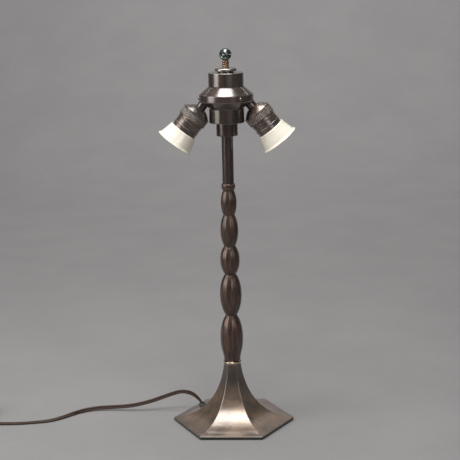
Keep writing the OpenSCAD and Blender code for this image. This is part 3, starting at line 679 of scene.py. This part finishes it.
def makeTube():
    sizes = {"stem_tube": ("plainTube", 0.2, 3), "tube_collar": ("collar", 0.5, 1.6)}
    for node, (name, edge, longest) in sizes.items():
        r, low, high = spanOf(node)
        shape = turned([(pipeHole, low), (r, low), (r, high), (pipeHole, high)], edge=edge, longest=longest)
        finishPiece(shape, name, "tube_bronze", "tube", [node])


makeTube()
print("column done")

clusterSet = {"sheet": 1.5, "bandHeight": 8.5, "slope": 38, "tuck": 0.8, "tuckUp": 2, "tuckIn": 0.6,
              "coneFoot": 0.5, "coneHole": 8, "boss": 10.0, "bossRise": 1.8, "capHole": 4.8, "capFloor": 2}

screwSet = {"head": 4.8, "rise": 1.7, "shank": 1.5, "down": -2, "under": 0.05, "headFrom": 0.5,
            "slot": 0.8, "slotFloor": 0.75, "steps": 28, "at": (65, 185, 305), "turnEach": 1.7}


def makeCluster():
    s = clusterSet
    drum, capLow, capTop = spanOf("top_cap")
    band, bandLow, coneTop = spanOf("cover")
    cupLow = spanOf("lower_cup")[1]
    bandTop = bandLow + s["bandHeight"]
    slope = tan(radians(s["slope"]))
    wallTop = bandLow - (band - drum) * slope
    t, tuck = s["sheet"], band - s["tuck"]
    cup = [(pipeHole, cupLow), (drum, cupLow), (drum, wallTop), (tuck, bandLow - s["tuck"] * slope),
           (tuck, bandLow + s["tuckUp"]), (tuck - t, bandLow + s["tuckUp"]),
           (tuck - t, bandLow - s["tuckIn"]), (drum - t, wallTop + 1), (drum - t, cupLow + t),
           (pipeHole, cupLow + t)]
    cover = [(s["coneHole"], coneTop), (drum + s["coneFoot"], coneTop), (band, bandTop), (band, bandLow),
             (band - t, bandLow), (band - t, bandTop - 1.0), (drum - 0.2, coneTop - t),
             (s["coneHole"], coneTop - t)]
    boss, ledge, hole = s["boss"], capTop - s["bossRise"], s["capHole"]
    cap = [(hole, capTop), (boss, capTop), (boss, ledge), (drum, ledge), (drum, capLow), (drum - t, capLow),
           (drum - t, ledge - s["capFloor"]), (hole, ledge - s["capFloor"])]
    sheets = {"lower_cup": ("lowerCup", cup, 0.45), "cover": ("coneCover", cover, 0.5),
              "top_cap": ("topCap", cap, 0.65)}
    for node, (name, outline, edge) in sheets.items():
        finishPiece(turned(outline, edge=edge), name, "cluster_bronze", "cluster", [node])
    makeScrews(band, bandLow + s["bandHeight"] / 2)


def makeScrews(band, height):
    # round heads with a slot, set into the band
    s = screwSet
    screws = bmesh.new()
    head, half = s["head"] / 2, s["slot"] / 2
    outline = [(0, s["down"]), (s["shank"], s["down"]), (s["shank"], s["under"]), (head, s["under"]),
               (head, s["headFrom"]), (head * 0.9, 1.0), (head * 0.62, 1.45), (0, s["rise"])]
    for turn in s["at"]:
        one = turned(outline, steps=s["steps"], closed=False, edge=0, longest=0.7)
        for side in (-1, 1):
            faces = [f for f in one.faces if f.calc_center_median().z > s["headFrom"] * mm]
            around = {e for f in faces for e in f.edges} | {v for f in faces for v in f.verts} | set(faces)
            bmesh.ops.bisect_plane(one, geom=list(around), plane_co=(side * half * mm, 0, 0),
                                   plane_no=(1, 0, 0), dist=1e-7)
        sunk = [f for f in one.faces if f.normal.z > 0.1 and f.calc_center_median().z > s["headFrom"] * mm
                and abs(f.calc_center_median().x) < half * mm]
        grown = bmesh.ops.extrude_face_region(one, geom=sunk)
        bmesh.ops.delete(one, geom=sunk, context="FACES")
        for v in grown["geom"]:
            if isinstance(v, bmesh.types.BMVert):
                v.co.z = s["slotFloor"] * mm
        bmesh.ops.recalc_face_normals(one, faces=one.faces[:])
        seat = Matrix.Rotation(radians(turn), 4, "Z") @ Matrix.Translation((band * mm, 0, height * mm)) \
            @ Matrix.Rotation(pi / 2, 4, "Y") @ Matrix.Rotation(radians(turn * s["turnEach"]), 4, "Z")
        one.transform(seat)
        spare = bpy.data.meshes.new("spare")
        one.to_mesh(spare)
        one.free()
        screws.from_mesh(spare)
        bpy.data.meshes.remove(spare)
    finishPiece(screws, "coverScrews", "screw_steel", "screw", ["cover_screws"])


makeCluster()
print("cluster done")

rodSet = {"pitch": 2.6, "steps": 40, "depth": 0.9}


def threaded(low, high, outer, root, pitch, steps):
    # one tooth swept up a helix, then cut flat at both ends
    shape = bmesh.new()
    tooth = [(root, 0), (root, 0.14), (outer - 0.12, 0.3), (outer, 0.38), (outer, 0.62), (outer - 0.12, 0.7),
             (root, 0.86), (root, 1)]
    turns = int((high - low) / pitch) + 3
    points = [shape.verts.new((r * mm, 0, (low + (z - 1.5) * pitch) * mm)) for r, z in tooth]
    line = [shape.edges.new(pair) for pair in zip(points, points[1:])]
    bmesh.ops.spin(shape, geom=points + line, cent=(0, 0, 0), axis=(0, 0, 1), angle=2 * pi * turns,
                   dvec=(0, 0, pitch * mm / steps), steps=steps * turns, use_merge=False)
    bmesh.ops.remove_doubles(shape, verts=shape.verts[:], dist=2e-6)
    for height, way in ((low, -1), (high, 1)):
        bmesh.ops.bisect_plane(shape, geom=shape.verts[:] + shape.edges[:] + shape.faces[:], dist=1e-7,
                               plane_co=(0, 0, height * mm), plane_no=(0, 0, way), clear_outer=True)
    bmesh.ops.holes_fill(shape, edges=[e for e in shape.edges if e.is_boundary], sides=0)
    bmesh.ops.recalc_face_normals(shape, faces=shape.faces[:])
    markHeights(shape, root, outer)
    return shape


def makeShadeHolder():
    s = rodSet
    r, low, high = spanOf("shade_rod")
    shape = threaded(low, high, r, r - s["depth"], s["pitch"], s["steps"])
    finishPiece(shape, "threadedRod", "rod_brass", "rodBrass", ["shade_rod"])
    r, low, high = spanOf("shade_washer")
    shape = turned([(pipeHole, low), (r - 0.4, low), (r, low + 0.6), (r, high - 0.8), (r - 0.9, high),
                    (pipeHole, high)], edge=0.5)
    finishPiece(shape, "shadeWasher", "washer_metal", "washer", ["shade_washer"], body="washer")


makeShadeHolder()
print("shade holder done")

holderSet = {
    "armHole": 3.8, "arm": 6.6, "armLength": 6.6,
    "dome": 9.0, "domeHole": 5, "domeFlat": 8.5, "domeIn": 1.2, "bulge": 1.67, "brim": 1.3, "brimOver": 0.3,
    "domeWall": 1.3,
    "knurl": 19.3, "knurlHeight": 11.0, "knurlRows": 5, "knurlsRound": 68, "knurlRise": 0.62,
    "knurlInsets": ((0.16, 0.0), (0.22, 0.42), (0.22, 0.2)), "knurlFrom": 0.9, "knurlTo": 1.5,
    "barrel": 17.4, "barrelShow": 17.0, "inSkirt": 6.0, "barrelBeads": (2.9, 11.5), "beadRise": 0.75,
    "barrelHole": 14.4, "barrelLow": 3, "barrelFloor": 3.9, "barrelWall": 0.8, "slack": 0.1,
    "skirt": 21.0, "flare": 6.6, "flareCurve": 1.15, "skirtWall": 2.2,
    "shell": 13.3, "shellPitch": 3.6, "shellLength": 18, "shellMiddle": 9, "shellSteps": 56,
    "shellRoot": 0.1, "shellCrest": 0.6,
}


def holderSeat(side):
    # where a lampholder's own axis starts, between its dome and its knurled ring
    mount = next(m for m in record["mounts"] if m["name"] == "bulb_socket_" + side)
    axis = Vector(mount["axis"]).normalized()
    low, high = (Vector(c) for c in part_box("shell_" + side))
    length = sum(holderSet[part] for part in ("knurlHeight", "barrelShow", "inSkirt"))
    start = (low + high) / 2 - axis * ((length - holderSet["shellMiddle"]) * mm)
    level = Vector((0, 0, 1)).cross(axis).normalized()
    turn = Matrix((level.cross(axis), level, axis)).transposed()
    turn.col[0] *= turn.determinant()
    return Matrix.Translation(start) @ turn.to_4x4()


def knurledBand(r, low, high, rows, around):
    # a grid of small raised cushions round the ring
    shape = bmesh.new()
    points = [shape.verts.new((r * mm, 0, (low + (high - low) * i / rows) * mm)) for i in range(rows + 1)]
    line = [shape.edges.new(pair) for pair in zip(points, points[1:])]
    bmesh.ops.spin(shape, geom=points + line, cent=(0, 0, 0), axis=(0, 0, 1), angle=2 * pi, steps=around,
                   use_merge=True)
    closeShape(shape)
    if shape.faces[0].normal.dot(shape.faces[0].calc_center_median()) < 0:
        bmesh.ops.reverse_faces(shape, faces=shape.faces[:])
    cushions = shape.faces[:]
    for thickness, depth in holderSet["knurlInsets"]:
        bmesh.ops.inset_individual(shape, faces=cushions, thickness=thickness * mm, depth=depth * mm,
                                   use_even_offset=True)
    markHeights(shape, r, r + holderSet["knurlRise"])
    wear, hollow = (shape.verts.layers.float.get(name) for name in ("wear", "hollow"))
    for v in shape.verts:
        row = (v.co.z / mm - low) / (high - low) * rows
        # painted shade in the grooves between rows
        v[hollow] = max(v[hollow] * 0.5, 1 - abs(row - round(row)) * 4)
        v[wear] = v[wear] * 0.75
    return shape


def makeHolder(side):
    s = holderSet
    seat = holderSeat(side)

    def add(shape, name, slot, look, node=None, **marks):
        stands = [node + "_" + side] if node else ()
        finishPiece(shape, name + "_" + side, slot, look, stands, place=seat, **marks)

    knurl, barrel, shell, h = s["knurl"], s["barrel"], s["shell"], s["knurlHeight"]
    domeTop, brim, brimLow, domeR = -s["dome"], knurl + s["brimOver"], -s["brim"], knurl - s["domeIn"]
    arm = [(s["armHole"], domeTop - s["armLength"]), (s["arm"], domeTop - s["armLength"]),
           (s["arm"], domeTop), (s["armHole"], domeTop)]
    add(turned(arm, steps=64, edge=0.3), "arm", "arm_bronze", "tube", "arm")
    dome = [(s["domeHole"], domeTop + 0.2)]
    for i in range(11):
        a = pi / 2 * i / 10
        dome.append((s["domeFlat"] + (domeR - s["domeFlat"]) * sin(a) ** s["bulge"],
                     brimLow - (s["dome"] - s["brim"]) * abs(cos(a)) ** s["bulge"]))
    dome += [(brim - 0.4, brimLow), (brim, brimLow + 0.4), (brim, -0.35), (brim - 0.4, 0), (domeR - 1, 0),
             (domeR - 2.4, brimLow - 0.6), (s["domeFlat"], domeTop + s["domeWall"]),
             (s["domeHole"], domeTop + s["domeWall"])]
    add(turned(dome, edge=0.15, longest=1.2), "dome", "holder_brass", "holder", "dome")
    root, snug = knurl - s["knurlRise"], barrel + s["slack"]
    first, last = s["knurlFrom"], h - s["knurlTo"]
    ring = [(snug, 0.05), (knurl - 0.9, 0.05), (knurl - 0.9, 0.6), (root, first), (root, last),
            (knurl - 0.9, h - 1.3), (knurl - 0.1, h - 0.9), (knurl - 0.1, h - 0.2), (knurl - 0.4, h),
            (snug, h)]
    add(turned(ring, edge=0.12), "unionRing", "holder_brass", "holder", "knurl_ring")
    grid = knurledBand(root, first, last, s["knurlRows"], s["knurlsRound"])
    add(grid, "knurling", "holder_brass", "holder")
    end = h + s["barrelShow"] + s["inSkirt"]
    tube = [(s["barrelHole"], s["barrelLow"]), (barrel, s["barrelLow"])]
    bead, flank = barrel + s["beadRise"], barrel + s["beadRise"] * 0.8
    for at in s["barrelBeads"]:
        z = h + at
        tube += [(barrel, z - 1.0), (flank, z - 0.5), (bead, z), (flank, z + 0.5), (barrel, z + 1.0)]
    tube += [(barrel, end), (barrel - s["barrelWall"], end), (barrel - s["barrelWall"], s["barrelFloor"]),
             (s["barrelHole"], s["barrelFloor"])]
    add(turned(tube, edge=0.12, longest=1.2), "barrel", "holder_brass", "holder", "barrel", sharp=0.35)
    neck, top = snug + s["skirtWall"], h + s["barrelShow"]
    foot, mouth = top + s["skirt"], neck + s["flare"]
    skirt = [(snug, top), (neck - 0.7, top), (neck, top + 0.8)]
    for t in (0.2, 0.4, 0.6, 0.8, 1):
        skirt.append((neck + (mouth - 2.4 - neck) * t ** s["flareCurve"], top + 0.8 + (foot - 4 - top) * t))
    skirt += [(mouth - 1.2, foot - 1.9), (mouth - 0.35, foot - 1.35), (mouth, foot - 0.8),
              (mouth - 0.3, foot - 0.2), (mouth - 1.0, foot), (mouth - 2.0, foot - 0.2),
              (mouth - 4.4, foot - 3.4), (snug + 1.2, top + 7.5), (snug + 0.1, top + 6.4), (snug, top + 6.2)]
    add(turned(skirt, edge=0.12, longest=1.3), "skirt", "porcelain", "porcelain", "skirt")
    thread = threaded(end - s["shellLength"], end, shell + s["shellCrest"], shell + s["shellRoot"],
                      s["shellPitch"], s["shellSteps"])
    caps = [f for f in thread.faces if len(f.verts) > 8]
    bmesh.ops.delete(thread, geom=caps, context="FACES_ONLY")
    bmesh.ops.reverse_faces(thread, faces=thread.faces[:])
    add(thread, "screwShell", "raw_brass", "rawBrass", "shell")
    refinish("insert_" + side, "insert")
    refinish("contact_" + side, "contactBrass")


for side in ("right", "left"):
    makeHolder(side)
print("lampholders done")

# pieces that keep the shape they have in the frame
kept = {"base_felt": "felt", "ballast": "iron", "lamp_pipe": "rawBrass", "pipe_washer": "steel",
        "pipe_nut": "steel", "cup_nut": "steel", "inner_leads": "leads", "rod_nut": "rawBrass",
        "ball_stud": "ball", "ball_nut": "ball", "cord_grommet": "grommet", "coil_tie": "tie",
        "cord_relief": "plug", "plug_body": "plug", "plug_pins": "nickel"}
for node, look in kept.items():
    refinish(node, look)

round(cordLength * mm, 3)
